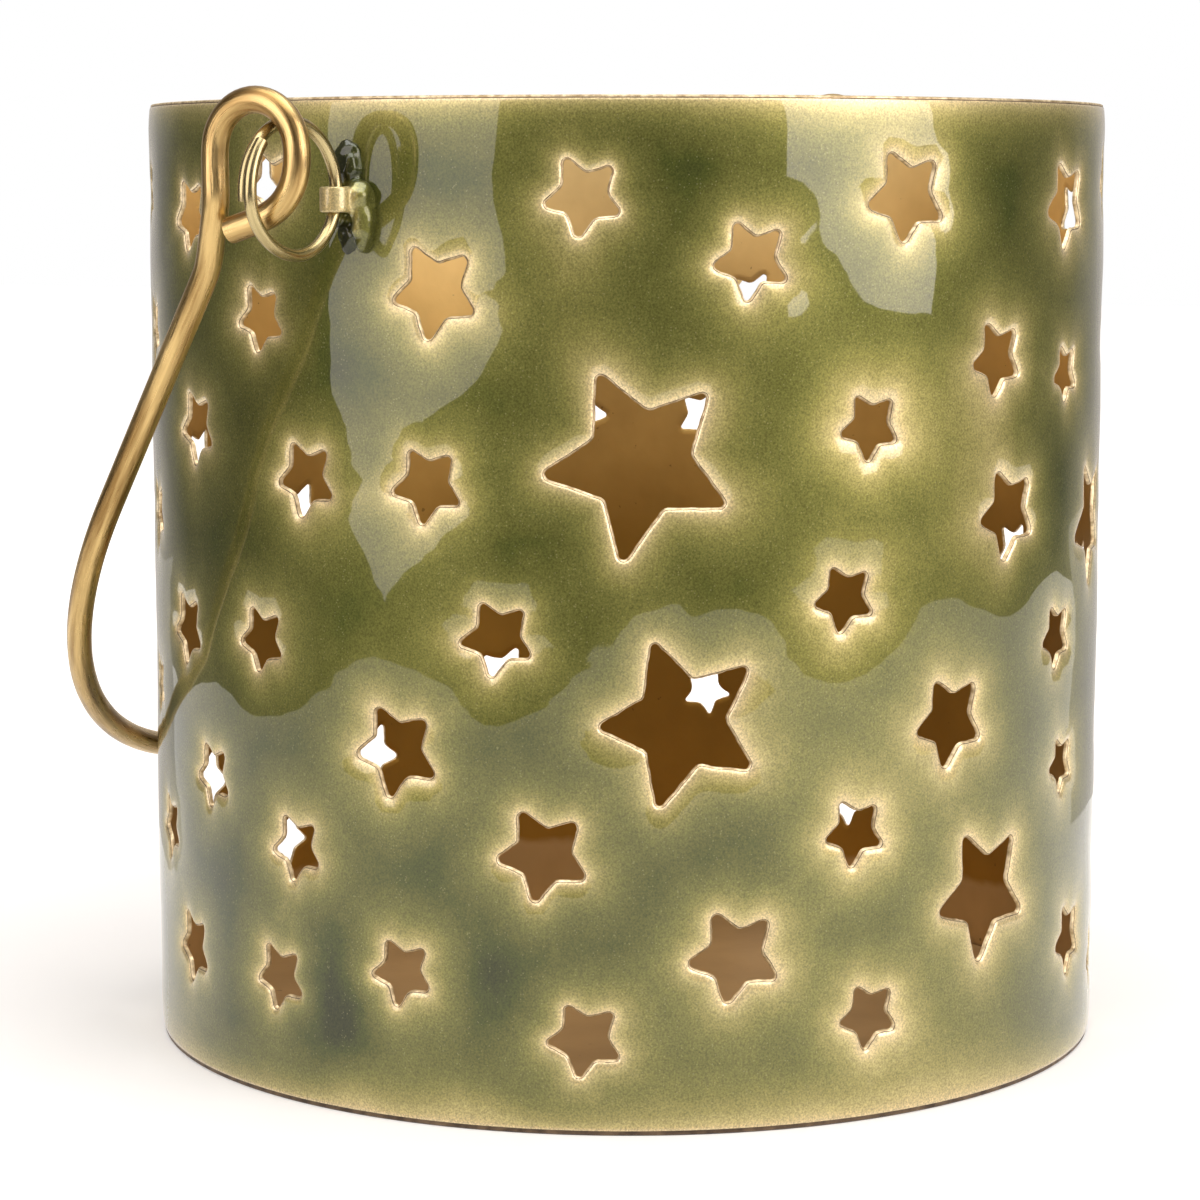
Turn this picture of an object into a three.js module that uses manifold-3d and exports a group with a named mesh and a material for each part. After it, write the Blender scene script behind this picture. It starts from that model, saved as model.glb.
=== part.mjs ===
// Star lantern: a round tin pierced with stars, with a wire handle hung in two jump rings.
// X runs along the handle's hinge line, from the left lug to the right one, and +Z is up.
// The origin is the middle of the flat underside. Lengths are millimetres, angles are degrees.
import * as THREE from "three";
import { mergeVertices } from "three/addons/utils/BufferGeometryUtils.js";
import Module from "manifold-3d";

const wasm = await Module();
wasm.setup();

// The tin
const bodyRadius = 50;
const bodyHeight = 97;
const wallThickness = 0.9;
const baseThickness = 1;
const baseClearance = 0.2;
const wallFacets = 60;

// The stars. A star's size is the reach of its tips from its centre.
const tinyStar = 3;
const smallStar = 3.4;
const middlingStar = 3.8;
const mediumStar = 4.6;
const largeStar = 6.8;
const grandStar = 8.1;
const greatestStar = 9.1;
const starTips = 5;
const notchShare = 0.52;
const tipWidth = 0.6;
const starLean = 8.5;
const grandLean = 16;
const greatestLean = 10;
const frontBearing = -151.5;
const cutReach = 3;

// The strap eyes welded under the rim, one on each side
const strapThickness = 0.9;
const strapHeight = 2.8;
const strapBend = 1.55;
const lugDrop = 8.5;
const lugBearing = 2.4;
const rightLugRise = 2;
const eyeStandOff = 2.2;
const weldGap = 0.3;
const weldRadius = 0.8;
const weldLength = 5;
const weldDrop = 1.9;

// The jump rings, whose two ends lie side by side
const ringWire = 1.2;
const ringRadius = 6.05;
const ringStart = -10;
const ringOverlap = 50;
const ringEndGap = 0.1;
const ringSwing = 3.6;

// The handle. It turns about the middles of its hook eyes, a little below the upper strands of the rings.
const handleWire = 2.5;
const hangAngle = 59;
const hookRadius = 4.5;
const hookLowRadius = 5.5;
const hookOffset = 1.65;
const hookDrop = 1.6;
const hookStraight = 1;
const hookBarSlope = 17;
const hookEndGap = 0.3;
const shankLength = 5;
const handleTilt = 34.75;
const kneeReach = 13.3;
const kneeInset = 2.9;
const bowDepth = 48.7;
const bowNarrowing = 7.5;
const restGap = 0.3;

// Fineness of the round stretches
const fullTurn = 360;
const bendSteps = 12;
const weldSteps = 4;
const weldSides = 12;
const ringSteps = 48;
const ringSides = 8;
const handleSteps = 150;
const handleSides = 8;
const arcPoints = 9;
const bowPoints = 21;

// Where the stars are: bearing from the front, to the viewer's right, and height as a percentage of the wall
const starGroups = [
  { size: tinyStar, lean: starLean, places: [
    [62, 32], [61.5, 72.5], [168.5, 28.5], [-77, 38.5],
  ] },
  { size: smallStar, lean: starLean, places: [
    [-45, 78.5], [27.5, 68.5], [24.5, 52], [-45.5, 46.5], [60, 45.5], [-56, 31.5], [26, 29], [-40, 26],
    [-70.5, 24], [-25.5, 15], [-43, 12.5], [28, 10.5], [-43, 91.5], [-80, 91], [-77, 76.5], [-76, 57],
    [80, 92], [118, 92], [203, 91.5], [262, 91], [84, 75.5], [148, 78.5], [162, 77.5], [195, 77.5],
    [266, 73.5], [109, 62], [169, 63], [186.5, 63.5], [216, 64], [94, 49.5], [137, 47.5], [158, 48.5],
    [195, 47.5], [248, 49.5], [272, 45.5], [116, 37], [134, 37], [158, 35.5], [215, 34], [84, 20.5],
    [112, 23.5], [155, 21.5], [192, 19.5], [203, 20.5], [240, 24.5], [80, 8.5], [106, 12.5], [135, 13.5],
    [147.5, 16], [176, 9.5], [221, 10.5], [233.5, 13.5], [273, 9.5],
  ] },
  { size: middlingStar, lean: starLean, places: [
    [-4.5, 90.5], [13.5, 84.5], [46, 74.5], [-38, 63], [-22, 63], [-14, 48.5], [-62.5, 46], [65.5, 13],
    [-62, 12.5], [-4.5, 9.5], [-59, 67], [-60, 88.5], [237.5, 91.5], [101, 88.5], [107, 80], [251, 78.5],
    [157, 68], [230.5, 52.5], [242, 64], [253.5, 60.5], [116.5, 49], [182, 39], [197.5, 30.5], [266, 31],
    [218, 22], [246, 11.5],
  ] },
  { size: mediumStar, lean: starLean, places: [
    [32, 90.5], [61, 89.5], [-21, 81.5], [48.5, 59], [39, 39], [-26, 37], [-9, 27.5], [12, 17.5],
    [169, 91], [221, 90.5], [128, 80.5], [181, 79.5], [90, 64], [199, 66], [270, 60], [220, 44.5],
    [87, 34], [141, 24.5], [252, 23], [160, 10.5], [206, 9.5],
  ] },
  { size: largeStar, lean: starLean, places: [
    [45, 21], [73, 56.5], [223.5, 76.5], [130, 60], [227, 31],
  ] },
  { size: grandStar, lean: grandLean, places: [
    [6, 40.5],
  ] },
  { size: greatestStar, lean: greatestLean, places: [
    [1.5, 65.5],
  ] },
];

const enamelGreen = new THREE.MeshStandardMaterial({ color: 0x66703c, roughness: 0.2, metalness: 0.3 });
const goldLacquer = new THREE.MeshStandardMaterial({ color: 0x8a683e, roughness: 0.35, metalness: 0.6 });
const agedBrass = new THREE.MeshStandardMaterial({ color: 0xa8813f, roughness: 0.35, metalness: 1 });
const paleBrass = new THREE.MeshStandardMaterial({ color: 0xb99f68, roughness: 0.25, metalness: 1 });

const upward = new THREE.Vector3(0, 0, 1);
const radians = THREE.MathUtils.degToRad;

function toSolid(geometry) {
  geometry.deleteAttribute("normal");
  geometry.deleteAttribute("uv");
  const merged = mergeVertices(geometry);
  const vertProperties = new Float32Array(merged.attributes.position.array);
  const triVerts = new Uint32Array(merged.index.array);
  return new wasm.Manifold(new wasm.Mesh({ numProp: 3, vertProperties, triVerts }));
}

function toMesh(solid, name, material) {
  const { vertProperties, triVerts } = solid.getMesh();
  const geometry = new THREE.BufferGeometry();
  geometry.setAttribute("position", new THREE.BufferAttribute(vertProperties, 3));
  geometry.setIndex(new THREE.BufferAttribute(triVerts, 1));
  geometry.computeVertexNormals();
  return named(new THREE.Mesh(geometry, material), name);
}

function named(mesh, name) {
  mesh.name = name;
  return mesh;
}

// A solid of revolution about Z from a profile of radius and height
function turned(profile) {
  const points = profile.map(([radius, height]) => new THREE.Vector2(radius, height));
  return new THREE.LatheGeometry(points, wallFacets).rotateX(Math.PI / 2);
}

// A round wire along a curve
function wire(curve, diameter, steps, sides) {
  const section = new THREE.Shape();
  for (let side = 0; side < sides; side += 1) {
    const angle = (2 * Math.PI * side) / sides;
    const corner = [(diameter / 2) * Math.cos(angle), (diameter / 2) * Math.sin(angle)];
    if (side === 0) {
      section.moveTo(...corner);
    } else {
      section.lineTo(...corner);
    }
  }
  return new THREE.ExtrudeGeometry(section, { steps, extrudePath: curve });
}

// A star's outline with its lowest tip leaning to the left and every tip blunted
function starShape(size, lean) {
  const blunt = Math.asin(tipWidth / 2 / size);
  const step = (2 * Math.PI) / starTips;
  const lowest = -Math.PI / 2 - radians(lean);
  const outline = [];
  for (let tip = 0; tip < starTips; tip += 1) {
    const angle = lowest + tip * step;
    outline.push(polar(size, angle - blunt));
    outline.push(polar(size, angle + blunt));
    outline.push(polar(size * notchShare, angle + step / 2));
  }
  return new THREE.Shape(outline);
}

function polar(radius, angle) {
  return new THREE.Vector2(radius * Math.cos(angle), radius * Math.sin(angle));
}

// The cutter of one star, pushed through the wall along its own radius
function starCutter(bearing, percent, size, lean) {
  const angle = radians(bearing + frontBearing);
  const outward = new THREE.Vector3(Math.cos(angle), Math.sin(angle), 0);
  const sideways = new THREE.Vector3().crossVectors(upward, outward);
  const start = bodyRadius - wallThickness - cutReach;
  const place = outward.clone().multiplyScalar(start).addScaledVector(upward, (bodyHeight * percent) / 100);
  const cutter = new THREE.ExtrudeGeometry(starShape(size, lean), {
    depth: wallThickness + 2 * cutReach,
    bevelEnabled: false,
  });
  cutter.applyMatrix4(new THREE.Matrix4().makeBasis(sideways, upward, outward).setPosition(place));
  return toSolid(cutter);
}

function makeWall() {
  const inner = bodyRadius - wallThickness;
  const profile = [[inner, 0], [bodyRadius, 0], [bodyRadius, bodyHeight], [inner, bodyHeight], [inner, 0]];
  let wall = toSolid(turned(profile));
  for (const { size, lean, places } of starGroups) {
    for (const [bearing, percent] of places) {
      wall = wall.subtract(starCutter(bearing, percent, size, lean));
    }
  }
  return toMesh(wall, "wall", enamelGreen);
}

function makeBase() {
  const radius = bodyRadius - wallThickness - baseClearance;
  const profile = [[0, 0], [radius, 0], [radius, baseThickness], [0, baseThickness]];
  return toMesh(toSolid(turned(profile)), "base", goldLacquer);
}

// Each side: side is -1 on the left and 1 on the right
const eyeRadius = bodyRadius + eyeStandOff;
const lugTurn = radians(lugBearing);
const ringTurn = radians(lugBearing + ringSwing);
const hangReach = ringRadius * (1 + Math.cos(radians(hangAngle)));
const hingeHalf = eyeRadius * Math.cos(lugTurn) + hangReach * Math.cos(ringTurn);
const hingeY = eyeRadius * Math.sin(lugTurn) + hangReach * Math.sin(ringTurn) + hookOffset;

function lugHeight(side) {
  return bodyHeight - lugDrop + (side > 0 ? rightLugRise : 0);
}

function hingeHeight(side) {
  return lugHeight(side) + ringRadius * Math.sin(radians(hangAngle)) - hookDrop;
}

// A strap bent round into an eye, with a weld bead down the wall at each of its two feet
function makeLug(side, name) {
  const start = bodyRadius + weldGap;
  const outside = strapBend + strapThickness / 2;
  const inside = strapBend - strapThickness / 2;
  const plan = new THREE.Shape();
  plan.moveTo(start, -outside);
  plan.lineTo(eyeRadius, -outside);
  plan.absarc(eyeRadius, 0, outside, -Math.PI / 2, Math.PI / 2, false);
  plan.lineTo(start, outside);
  plan.lineTo(start, inside);
  plan.lineTo(eyeRadius, inside);
  plan.absarc(eyeRadius, 0, inside, Math.PI / 2, -Math.PI / 2, true);
  plan.lineTo(start, -inside);
  plan.closePath();
  const strap = new THREE.ExtrudeGeometry(plan, {
    depth: strapHeight,
    bevelEnabled: false,
    curveSegments: bendSteps,
  });
  let lug = toSolid(strap.translate(0, 0, -strapHeight / 2));
  for (const foot of [-strapBend, strapBend]) {
    const bead = new THREE.CapsuleGeometry(weldRadius, weldLength, weldSteps, weldSides);
    bead.rotateX(Math.PI / 2).translate(start + weldRadius, foot, -weldDrop);
    lug = lug.add(toSolid(bead));
  }
  const mesh = toMesh(lug, name, enamelGreen);
  mesh.position.z = lugHeight(side);
  mesh.rotation.z = side > 0 ? lugTurn : Math.PI - lugTurn;
  return mesh;
}

// An open ring that winds a little more than once round, so that its ends pass each other
function makeRing(side, name) {
  const turn = fullTurn + ringOverlap;
  const drift = (-side * (ringWire + ringEndGap) * turn) / fullTurn;
  const eyeShare = (fullTurn / 2 - ringStart) / turn;
  const points = [];
  for (let step = 0; step <= ringSteps; step += 1) {
    const share = step / ringSteps;
    const angle = radians(ringStart + turn * share);
    const along = ringRadius * (1 + Math.cos(angle));
    points.push(new THREE.Vector3(along, drift * (share - eyeShare), ringRadius * Math.sin(angle)));
  }
  const path = new THREE.CatmullRomCurve3(points);
  const mesh = named(new THREE.Mesh(wire(path, ringWire, ringSteps, ringSides), paleBrass), name);
  const bearing = side > 0 ? lugTurn : Math.PI - lugTurn;
  mesh.position.set(eyeRadius * Math.cos(bearing), eyeRadius * Math.sin(bearing), lugHeight(side));
  mesh.rotation.z = side > 0 ? ringTurn : Math.PI - ringTurn;
  return mesh;
}

// Centreline of the left half of the handle about its hinge, from the cut end of the hook to the knee
function hookPoints() {
  const points = [];
  const add = (y, z) => points.push(new THREE.Vector3(-hingeHalf, y, z));
  const lowY = hookLowRadius - hookRadius;
  const endY = hookRadius - handleWire / 2 - hookEndGap;
  const barAngle = radians((3 / 4) * fullTurn - hookBarSlope);
  const barY = lowY + hookLowRadius * Math.cos(barAngle);
  const barZ = hookLowRadius * Math.sin(barAngle) - hookStraight;
  add(endY, barZ - (endY - barY) * Math.tan(radians(hookBarSlope)));
  add((endY + barY) / 2, barZ - ((endY - barY) / 2) * Math.tan(radians(hookBarSlope)));
  for (let point = 0; point <= arcPoints; point += 1) {
    const angle = barAngle + (Math.PI - barAngle) * (point / arcPoints);
    add(lowY + hookLowRadius * Math.cos(angle), hookLowRadius * Math.sin(angle) - hookStraight);
  }
  for (let point = 0; point <= 2 * arcPoints; point += 1) {
    const angle = Math.PI * (1 - point / (2 * arcPoints));
    add(hookRadius * Math.cos(angle), hookRadius * Math.sin(angle));
  }
  add(hookRadius, -shankLength / 2);
  add(hookRadius, -shankLength);
  return points;
}

// Centreline of the legs and the bow, in the plane that hangs from the hinge at the handle's tilt.
// The bow is half an ellipse, and each leg is its tangent through the knee.
function bowCurve() {
  const tilt = radians(handleTilt);
  const reach = (bodyRadius + handleWire / 2 + restGap - hingeY) / Math.sin(tilt);
  const halfWidth = hingeHalf - bowNarrowing;
  const middle = reach - bowDepth;
  const across = (hingeHalf - kneeInset) / halfWidth;
  const above = (middle - kneeReach) / bowDepth;
  const start = Math.acos(1 / Math.hypot(across, above)) - Math.atan2(above, across);
  const hang = (x, s) => new THREE.Vector3(x, s * Math.sin(tilt), -s * Math.cos(tilt));
  const points = [hang(kneeInset - hingeHalf, kneeReach)];
  for (let point = 0; point <= bowPoints; point += 1) {
    const angle = start + (Math.PI - 2 * start) * (point / bowPoints);
    points.push(hang(-halfWidth * Math.cos(angle), middle + bowDepth * Math.sin(angle)));
  }
  points.push(hang(hingeHalf - kneeInset, kneeReach));
  return points;
}

function makeHandle() {
  const left = hookPoints();
  const right = left.map((point) => new THREE.Vector3(-point.x, point.y, point.z)).reverse();
  const path = new THREE.CatmullRomCurve3([...left, ...bowCurve(), ...right], false, "centripetal");
  const mesh = named(new THREE.Mesh(wire(path, handleWire, handleSteps, handleSides), agedBrass), "handle");
  mesh.position.set(0, hingeY, (hingeHeight(-1) + hingeHeight(1)) / 2);
  mesh.rotation.y = -Math.atan2(rightLugRise, 2 * hingeHalf);
  return mesh;
}

const lantern = new THREE.Group();
lantern.add(makeWall(), makeBase());
lantern.add(makeLug(-1, "left_lug"), makeLug(1, "right_lug"));
lantern.add(makeRing(-1, "left_ring"), makeRing(1, "right_ring"));
lantern.add(makeHandle());

export default lantern;
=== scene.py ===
# Star lantern: a pierced and enamelled tin with a wire handle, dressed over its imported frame
import math
import random

import bpy
import numpy as np
from mathutils import Matrix, Vector, noise
from mathutils.geometry import delaunay_2d_cdt


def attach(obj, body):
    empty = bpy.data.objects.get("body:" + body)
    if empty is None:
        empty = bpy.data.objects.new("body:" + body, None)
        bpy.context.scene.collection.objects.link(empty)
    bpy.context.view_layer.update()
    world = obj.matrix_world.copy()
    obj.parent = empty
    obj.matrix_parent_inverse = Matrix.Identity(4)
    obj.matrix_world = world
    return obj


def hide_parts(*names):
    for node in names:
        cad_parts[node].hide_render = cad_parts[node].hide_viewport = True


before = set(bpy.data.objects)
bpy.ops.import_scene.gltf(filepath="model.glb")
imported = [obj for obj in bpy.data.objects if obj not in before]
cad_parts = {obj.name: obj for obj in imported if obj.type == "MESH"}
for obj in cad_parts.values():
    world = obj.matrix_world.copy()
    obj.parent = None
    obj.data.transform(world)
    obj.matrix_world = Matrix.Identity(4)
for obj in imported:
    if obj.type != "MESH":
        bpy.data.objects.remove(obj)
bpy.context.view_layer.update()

MM = 0.001

# The tin, in millimetres and degrees
body_radius = 50.0
body_height = 97.0
wall_thickness = 0.9
inner_radius = body_radius - wall_thickness
round_length = 2 * math.pi * body_radius
front_bearing = -151.5

# The floor disc
disc_gap = 0.2
disc_thickness = 1.0
disc_edge = 0.25

# Enamel: it thins out towards every cut edge, so its surface dips there
enamel_dip = 0.28
enamel_dip_reach = 3.2
lip_dip = 0.12
lip_dip_reach = 0.6
foot_thinning = 0.85
foot_drips = 0.35
enamel_wave = 0.10
halo_blend = 0.8
halo_reach = 12
deepest_enamel = 20.0
# Direction from left to right as the camera sees it; the enamel's colour carries painted light along it
photo_right = (0.477, -0.879, 0.0)

# Round the back the enamel drifts by chance: the bearing where that starts, its blend and its size
drift_start = 65
drift_blend = 20
drift_size = 0.6

# Where the enamel is drawn thick and dark or thin and pale on the front, partly its own runs and partly
# painted highlight (pale) and painted shade (dark): bearing, height, reach, share of the usual depth
enamel_runs_and_light_patches = [
    (4, 91, 9, 1.5), (47, 90, 9, 1.25), (-51, 60, 11, 1.05), (57, 57, 8, 1.4), (-11, 13, 8, 1.6),
    (-35, 10.5, 6, 2.8), (8, 27, 7, 1.3), (18, 8, 7, 1.2), (-60, 24, 9, 1.4), (-13, 52, 6, 1.4),
    (-6, 77, 9, 0.42), (23, 71, 10, 0.78), (41, 66, 9, 0.42), (40, 53, 9, 0.6), (-29, 49, 9, 0.65),
    (32, 32, 9, 0.6), (20, 40, 8, 0.65), (16, 18, 8, 0.65), (32, 84, 8, 1.35), (48, 57, 6, 1.5),
    (46, 72, 6, 1.5), (61, 71, 6, 1.4), (25, 52, 6, 1.25), (-32, 2.5, 5, 0.5), (-17, 2, 6, 0.45),
    (1, 3, 6, 1.2), (33, 4, 8, 0.55)]

# The outline of a star: the depth of its notches, its rounded corners, and how far it strays
large_star = 6.0
small_star_notch = 0.585
large_star_notch = 0.53
notch_round = 0.8
tip_round_share = 0.125
largest_tip_round = 0.55
star_turn = 1.5
tip_turn = 2.0
tip_stray = 0.04
edge_stray = 0.09
edge_stray_scale = 0.8
outline_step = 0.48

# Stars: reach of the tips, lean of the lowest tip to the left, places as bearing and percent of height
usual_lean = 8.5
star_groups = [
    (3.0, usual_lean, [(62, 32), (61.5, 72.5), (168.5, 28.5), (-77, 38.5)]),
    (3.4, usual_lean, [
        (-45, 78.5), (27.5, 68.5), (24.5, 52), (-45.5, 46.5), (60, 45.5), (-56, 31.5), (26, 29),
        (-40, 26), (-70.5, 24), (-25.5, 15), (-43, 12.5), (28, 10.5), (-43, 91.5), (-80, 91),
        (-77, 76.5), (-76, 57), (80, 92), (118, 92), (203, 91.5), (262, 91), (84, 75.5),
        (148, 78.5), (162, 77.5), (195, 77.5), (266, 73.5), (109, 62), (169, 63), (186.5, 63.5),
        (216, 64), (94, 49.5), (137, 47.5), (158, 48.5), (195, 47.5), (248, 49.5), (272, 45.5),
        (116, 37), (134, 37), (158, 35.5), (215, 34), (84, 20.5), (112, 23.5), (155, 21.5),
        (192, 19.5), (203, 20.5), (240, 24.5), (80, 8.5), (106, 12.5), (135, 13.5), (147.5, 16),
        (176, 9.5), (221, 10.5), (233.5, 13.5), (273, 9.5)]),
    (3.8, usual_lean, [
        (-4.5, 90.5), (13.5, 84.5), (46, 74.5), (-38, 63), (-22, 63), (-14, 48.5), (-62.5, 46),
        (65.5, 13), (-62, 12.5), (-4.5, 9.5), (-59, 67), (-60, 88.5), (237.5, 91.5), (101, 88.5),
        (107, 80), (251, 78.5), (157, 68), (230.5, 52.5), (242, 64), (253.5, 60.5), (116.5, 49),
        (182, 39), (197.5, 30.5), (266, 31), (218, 22), (246, 11.5)]),
    (4.6, usual_lean, [
        (32, 90.5), (61, 89.5), (-21, 81.5), (48.5, 59), (39, 39), (-26, 37), (-9, 27.5),
        (12, 17.5), (169, 91), (221, 90.5), (128, 80.5), (181, 79.5), (90, 64), (199, 66),
        (270, 60), (220, 44.5), (87, 34), (141, 24.5), (252, 23), (160, 10.5), (206, 9.5)]),
    (6.8, usual_lean, [(45, 21), (73, 56.5), (223.5, 76.5), (130, 60), (227, 31)]),
    (8.1, 16, [(6, 40.5)]),
    (9.1, 10, [(1.5, 65.5)]),
]

# From the enamel's lip into the hole: distance outside the outline, radius, finish of the next band
lip_bands = [
    (0.30, None, "enamel"),
    (0.17, 49.60, "enamel"),
    # The dark seam band is painted shade, with a dark reflection in it, where the lip turns down into
    # the hole
    (0.10, 49.54, "burnt"),
    (0.04, 49.50, "cut"),
    (-0.08, 49.40, "cut"),
    (-0.11, 49.16, "cut"),
    (-0.03, inner_radius, "inside"),
]
cut_ragged = 0.06
lip_ragged = 0.015
ragged_scale = 2.1

# Over the rim and under the foot: radius, height, finish of the band that ends there
# Their dark seam bands are painted shade: a thin shaded line under the enamel's edge at the rim, and
# round the foot the bare edge darkened further by painted contact shade
rim_bands = [
    (49.66, body_height - 0.32, "enamel"), (49.57, body_height - 0.22, "burnt"),
    (49.58, body_height - 0.10, "cut"), (49.48, body_height - 0.02, "cut"),
    (49.34, body_height, "cut"), (49.18, body_height - 0.04, "cut")]
foot_bands = [
    (49.68, 0.50, "enamel"), (49.58, 0.40, "burnt"), (49.60, 0.12, "burnt"),
    (49.48, 0.02, "burnt"), (49.34, 0.0, "burnt"), (49.18, 0.06, "cut")]
finish_slots = ["enamel", "cut", "inside", "burnt"]

# The mesh of the unrolled wall: the line where its ends meet, its margins and its spacing
seam_bearing = 176.0
seam_slope = 0.05
seam_step = 1.3
seam_margin = 0.7
row_margin = 0.5
rim_points = 262
crowding_cell = 2
smallest_face = 0.001
ring_clear_share = 0.55
edge_row_spacing = 0.8
grid_clear = 0.6
grid_row_share = 0.866
grid_spacing_share = 0.62

# Both skins of the wall: their rings of points round a star are distance, one in how many, spacing
outer_foot = 0.85
outer_rim = body_height - 0.55
outer_grid = 1.9
outer_edge_rows = (0.9, 1.9, 3.2)
outer_rings = [(0.62, 1, 0.22), (1.1, 2, 0.4), (1.8, 2, 0.6), (2.7, 3, 0.8), (3.8, 4, 1.1)]
inner_foot = 0.4
inner_rim = body_height - 0.4
inner_grid = 4.0
inner_edge_rows = ()
inner_rings = [(0.7, 2, 0.45)]

# The strap eyes
strap_thickness = 0.6
strap_height = 2.4
strap_bend = 1.12
strap_shift = 0.2
strap_foot = body_radius - 0.3
lug_height = {"left": 88.5, "right": 90.5}
lug_bearing = 2.4
lug_root = 49.35
lug_sag = 1.0
eye_radius = 52.2

# Lumps of enamel round a strap: middle and reach, each outwards, along the wall and upwards
lug_lumps = [
    ((50.1, 1.75, -1.7), (1.55, 1.15, 3.4)),
    ((50.3, 1.5, 0.0), (1.6, 1.3, 1.9)),
    ((50.0, -1.6, -0.4), (1.3, 1.0, 2.2)),
    ((49.9, -0.2, 3.0), (1.15, 1.6, 2.5)),
    ((49.8, -0.1, -3.2), (0.8, 1.3, 1.9)),
]
lug_skin = 0.13
lug_relief = 0.45
lug_relief_scale = 850
lug_relief_end = 52.4
lug_relief_blend = 0.8
lug_softening = 16

# The rings, each one turn of wire and a little more
ring_wire = 1.2
ring_radius = 6.05
ring_start = -10
ring_overlap = 50
ring_end_shift = 1.3
ring_end_tuck = 0.2
ring_end_spread = 0.5
ring_opens_at = 280
ring_opens_over = 70
ring_swing = 3.6

# The handle
handle_wire = 2.5
hang_angle = 59
hook_radius = 4.5
hook_low_radius = 5.5
hook_offset = 1.65
hook_drop = 1.6
hook_straight = 1.0
hook_bar_slope = 17
hook_end_gap = 0.3
shank_length = 5.0
handle_tilt = 34.75
knee_reach = 13.3
knee_inset = 2.9
bow_depth = 48.7
bow_narrowing = 7.5
rest_gap = 0.3
handle_step = 0.55
handle_easing = 6

# Where the handle's hooks hang in the rings
hang_reach = ring_radius * (1 + math.cos(math.radians(hang_angle)))
hinge_half = (eye_radius * math.cos(math.radians(lug_bearing))
              + hang_reach * math.cos(math.radians(lug_bearing + ring_swing)))
hinge_y = (eye_radius * math.sin(math.radians(lug_bearing)) + hook_offset
           + hang_reach * math.sin(math.radians(lug_bearing + ring_swing)))
hang_rise = ring_radius * math.sin(math.radians(hang_angle)) - hook_drop

# All wire: how far its cut ends are rounded, and how far its grain is drawn out along it
cut_end_share = 0.07
grain_press = 0.07

# The camera that took the photograph
camera_place = (-0.31556, -0.17133, 0.08918)
camera_pitch = 7.062
camera_turn = -61.059
camera_lens = 101.42
camera_sensor = 36.0

# The studio, in metres
floor_size = 4.0
surround_light = 0.3
room_radius = 0.365
room_height = 0.6
room_shift = 0.06
room_dark_past = 60
room_pale_within = 32
card_bearings = (118, 242)
card_distances = (0.16, 0.12)
card_half_height = 0.02
card_points = 41


# Shading nodes

def node(tree, kind, inputs=None, **settings):
    made = tree.nodes.new(kind)
    for key, value in settings.items():
        setattr(made, key, value)
    for key, value in (inputs or {}).items():
        if isinstance(value, bpy.types.NodeSocket):
            tree.links.new(value, made.inputs[key])
        else:
            made.inputs[key].default_value = value
    return made


def new_finish(name):
    finish = bpy.data.materials.new(name)
    finish.use_nodes = True
    tree = finish.node_tree
    return finish, tree, tree.nodes["Principled BSDF"]


def set_sockets(shader, values):
    for socket, value in values.items():
        shader.inputs[socket].default_value = value


def object_place(tree):
    return node(tree, "ShaderNodeTexCoord").outputs["Object"]


def ramp(tree, factor, stops):
    made = node(tree, "ShaderNodeValToRGB", {"Fac": factor})
    elements = made.color_ramp.elements
    while len(elements) < len(stops):
        elements.new(0.5)
    for element, (place, colour) in zip(elements, stops):
        element.position = place
        element.color = (*colour, 1)
    return made.outputs["Color"]


def noise_of(tree, scale, detail=3.0, roughness=0.55):
    return node(tree, "ShaderNodeTexNoise", {
        "Vector": object_place(tree), "Scale": scale, "Detail": detail,
        "Roughness": roughness}).outputs["Fac"]


def math_of(tree, operation, first, second=0.0, third=0.0):
    made = node(tree, "ShaderNodeMath", {0: first, 1: second, 2: third}, operation=operation)
    return made.outputs["Value"]


def vector_of(tree, operation, first, second=(0, 0, 0)):
    return node(tree, "ShaderNodeVectorMath", {0: first, 1: second}, operation=operation).outputs


def spread(tree, value, low, high, out_low, out_high):
    made = node(tree, "ShaderNodeMapRange", {
        "Value": value, "From Min": low, "From Max": high, "To Min": out_low, "To Max": out_high})
    return made.outputs["Result"]


def mixed(tree, factor, first, second, blend="MIX"):
    made = node(tree, "ShaderNodeMix", data_type="RGBA", blend_type=blend)
    for slot, value in ((0, factor), (6, first), (7, second)):
        if isinstance(value, bpy.types.NodeSocket):
            tree.links.new(value, made.inputs[slot])
        else:
            made.inputs[slot].default_value = value if slot == 0 else (*value, 1)
    return made.outputs[2]


def bump_of(tree, height, strength, distance):
    return node(tree, "ShaderNodeBump", {
        "Height": height, "Strength": strength, "Distance": distance}).outputs["Normal"]


# Finishes

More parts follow.
